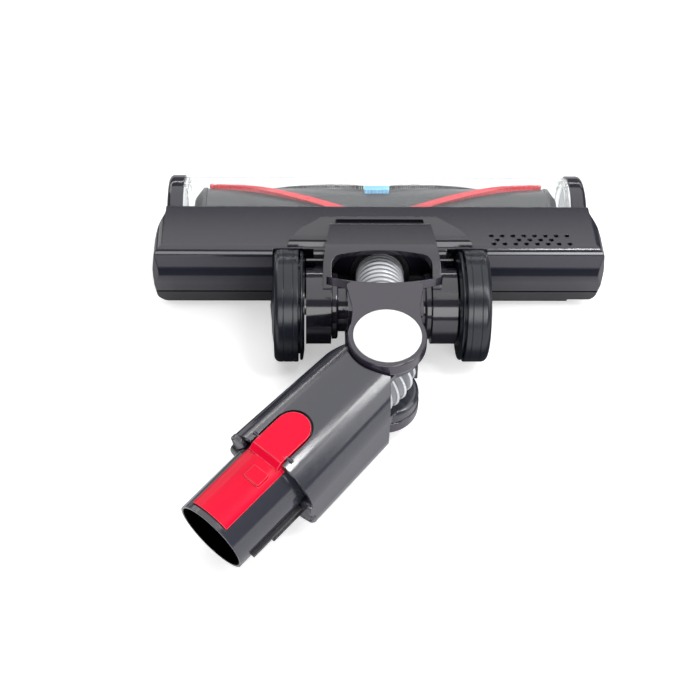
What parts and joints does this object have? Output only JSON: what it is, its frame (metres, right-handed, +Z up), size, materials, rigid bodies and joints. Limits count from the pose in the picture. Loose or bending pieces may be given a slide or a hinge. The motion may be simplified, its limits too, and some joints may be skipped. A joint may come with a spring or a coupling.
{
  "type": "vacuum cleaner powerhead",
  "caption": "Powered floor head for a stick vacuum: brush roller behind a clear cover, twin wheels, pitching neck with corrugated hose and a swivelling plug-in tube with a red release latch.",
  "frame": {"origin": "on the floor, below the middle of the whole object as modelled, with the neck at rest and the wand swivelled to the left", "axes": "+Z up, +Y forward towards the brush, +X to the right seen from behind"},
  "size_m": [0.2508, 0.265, 0.0712],
  "materials": {
    "shell_black": "gloss",
    "sole_black": "satin",
    "clear": "clear",
    "yoke_black": "gloss",
    "wheel_navy": "gloss",
    "tyre_rubber": "satin",
    "steel": "brushed",
    "core_grey": "satin",
    "red_nylon": "fibre",
    "carbon_fibre": "fibre",
    "blue_nylon": "fibre",
    "motor_can": "satin",
    "neck_grey": "gloss",
    "cap_white": "satin",
    "wand_grey": "gloss",
    "latch_red": "gloss",
    "hose_silver": "satin",
    "contact_brass": "bright",
    "duct_black": "satin",
    "board_green": "satin",
    "felt_grey": "fibre",
    "wiper_rubber": "satin"
  },
  "bodies": {
    "head": {"body_shell": "shell_black", "sole_plate": "sole_black", "yoke": "yoke_black", "clear_cover": "clear", "left_end_cap": "shell_black", "right_end_cap": "shell_black", "intake_duct": "duct_black", "circuit_board": "board_green", "wiper_strip": "wiper_rubber", "sole_felt": "felt_grey", "roller_pins": "steel", "sole_screws": "steel", "brush_motor": "motor_can", "hose_cuff_front": "duct_black", "left_axle": "steel", "right_axle": "steel"},
    "brush": {"brush_core": "core_grey", "red_bristles": "red_nylon", "carbon_bristles": "carbon_fibre", "blue_bristles": "blue_nylon", "motor_shaft": "steel", "drive_hub": "duct_black", "core_bearing": "duct_black", "core_end_plug": "core_grey"},
    "right_wheel_body": {"right_wheel": "wheel_navy", "right_tyre": "tyre_rubber", "right_hub_cap": "wheel_navy"},
    "left_wheel_body": {"left_wheel": "wheel_navy", "left_tyre": "tyre_rubber", "left_hub_cap": "wheel_navy"},
    "right_roller_body": {"right_sole_roller": "duct_black"},
    "left_roller_body": {"left_sole_roller": "duct_black"},
    "lock": {"brush_lock": "latch_red"},
    "neck": {"neck_frame": "neck_grey", "swivel_cap": "cap_white", "flex_hose": "hose_silver"},
    "wand": {"wand_housing": "wand_grey", "wand_tube": "wand_grey", "latch_pin": "steel", "connector_block": "duct_black", "contact_strips": "contact_brass", "hose_cuff_rear": "duct_black"},
    "latch": {"release_latch": "latch_red"}
  },
  "joints": [
    {"name": "neck_pitch", "type": "hinge", "parent": "head", "child": "neck", "pos_m": [0, 0.02947, 0.0305], "axis": [-1, 0, 0], "range_deg": [-8, 55], "deforming": ["flex_hose"]},
    {"name": "wand_swivel", "type": "hinge", "parent": "neck", "child": "wand", "pos_m": [0, -0.02898, 0.04636], "axis": [0, -0.0697, 0.9976], "range_deg": [-31.5, 118.5], "deforming": ["flex_hose"]},
    {"name": "latch_press", "type": "hinge", "parent": "wand", "child": "latch", "pos_m": [-0.05644, -0.08892, 0.05096], "axis": [-0.7254, 0.6867, 0.048], "range_deg": [0, 4], "stiffness_Nm_per_rad": 0.3, "springref_deg": -1.72},
    {"name": "brush_spin", "type": "hinge", "parent": "head", "child": "brush", "pos_m": [0, 0.10447, 0.024], "axis": [1, 0, 0], "continuous": true},
    {"name": "right_wheel_spin", "type": "hinge", "parent": "head", "child": "right_wheel_body", "pos_m": [0.0507, 0.02947, 0.0305], "axis": [1, 0, 0], "continuous": true},
    {"name": "left_wheel_spin", "type": "hinge", "parent": "head", "child": "left_wheel_body", "pos_m": [-0.0507, 0.02947, 0.0305], "axis": [1, 0, 0], "continuous": true},
    {"name": "right_roller_spin", "type": "hinge", "parent": "head", "child": "right_roller_body", "pos_m": [0.072, 0.07447, 0.006], "axis": [1, 0, 0], "continuous": true},
    {"name": "left_roller_spin", "type": "hinge", "parent": "head", "child": "left_roller_body", "pos_m": [-0.072, 0.07447, 0.006], "axis": [1, 0, 0], "continuous": true},
    {"name": "brush_lock_turn", "type": "hinge", "parent": "head", "child": "lock", "pos_m": [0.117, 0.10447, 0.024], "axis": [1, 0, 0], "range_deg": [0, 90]}
  ]
}
